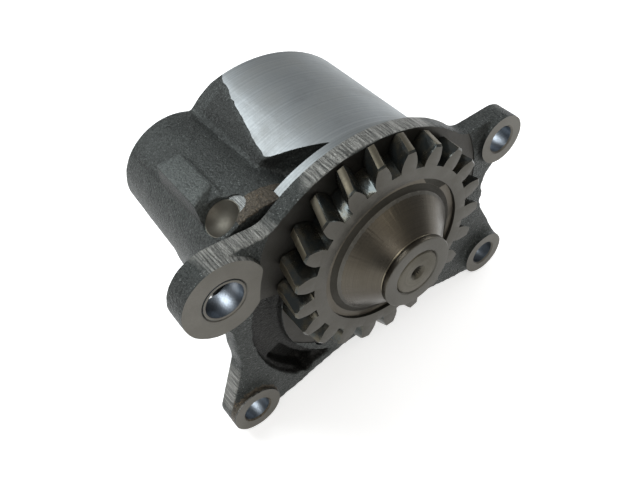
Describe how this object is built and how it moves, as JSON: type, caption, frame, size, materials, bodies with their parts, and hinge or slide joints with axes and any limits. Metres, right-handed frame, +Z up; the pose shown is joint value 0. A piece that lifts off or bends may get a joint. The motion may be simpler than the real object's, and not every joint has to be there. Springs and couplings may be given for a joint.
{
  "type": "engine oil pump",
  "caption": "Flanged gear oil pump for an engine: helical drive gear with a coned hub in front of an eared flange, round pump body and relief valve boss behind.",
  "frame": {"origin": "where the drive axis meets the mounting face, the back of the four ears", "axes": "+Y along the drive axis from the gear into the engine, +X to the right seen from the gear, +Z up towards the round top of the body"},
  "size_m": [0.1492, 0.1058, 0.1063],
  "materials": {
    "cast_iron": "sand cast, with machined faces",
    "gear_steel": "hobbed and turned, oiled",
    "bright_steel": "ground",
    "spring_steel": "drawn",
    "plated_steel": "zinc plated",
    "black_steel": "black oxide",
    "bronze": "bored",
    "copper": "annealed"
  },
  "bodies": {
    "housing": {"flange_housing": "cast_iron", "locating_sleeve": "bright_steel", "gear_housing": "cast_iron", "rear_cover": "cast_iron", "body_screw_upper_left": "black_steel", "body_screw_upper_right": "black_steel", "body_screw_lower_right": "black_steel", "body_screw_lower_left": "black_steel", "cover_bolt_upper_left": "plated_steel", "cover_bolt_upper_right": "plated_steel", "cover_bolt_lower_right": "plated_steel", "cover_bolt_lower_left": "plated_steel", "lock_washer_upper_left": "spring_steel", "lock_washer_upper_right": "spring_steel", "lock_washer_lower_right": "spring_steel", "lock_washer_lower_left": "spring_steel", "dowel_pin_right": "bright_steel", "dowel_pin_left": "bright_steel", "front_drive_bush": "bronze", "front_driven_bush": "bronze", "rear_drive_bush": "bronze", "rear_driven_bush": "bronze", "thrust_washer": "bronze", "relief_plug": "plated_steel", "relief_plug_seal": "copper", "relief_spring": "spring_steel", "core_plug": "bright_steel"},
    "drive_train": {"drive_shaft": "bright_steel", "drive_gear": "gear_steel", "gear_key": "bright_steel", "pump_drive_gear": "gear_steel", "pump_gear_key": "bright_steel", "shaft_circlip": "spring_steel"},
    "driven_train": {"driven_shaft": "bright_steel", "pump_driven_gear": "gear_steel"},
    "relief_valve": {"relief_piston": "bright_steel"}
  },
  "joints": [
    {"name": "drive_spin", "type": "hinge", "parent": "housing", "child": "drive_train", "pos_m": [0, 0, 0], "axis": [0, 1, 0], "continuous": true},
    {"name": "driven_spin", "type": "hinge", "parent": "housing", "child": "driven_train", "pos_m": [0, 0.025, -0.03], "axis": [0, 1, 0], "continuous": true},
    {"name": "relief_slide", "type": "slide", "parent": "housing", "child": "relief_valve", "axis": [0, 1, 0], "range_m": [0, 0.008], "stiffness_N_per_m": 4000, "springref_m": -0.02, "deforming": ["relief_spring"]}
  ],
  "couplings": [
    {"joint": "driven_spin", "follows": "drive_spin", "ratio": -1}
  ]
}
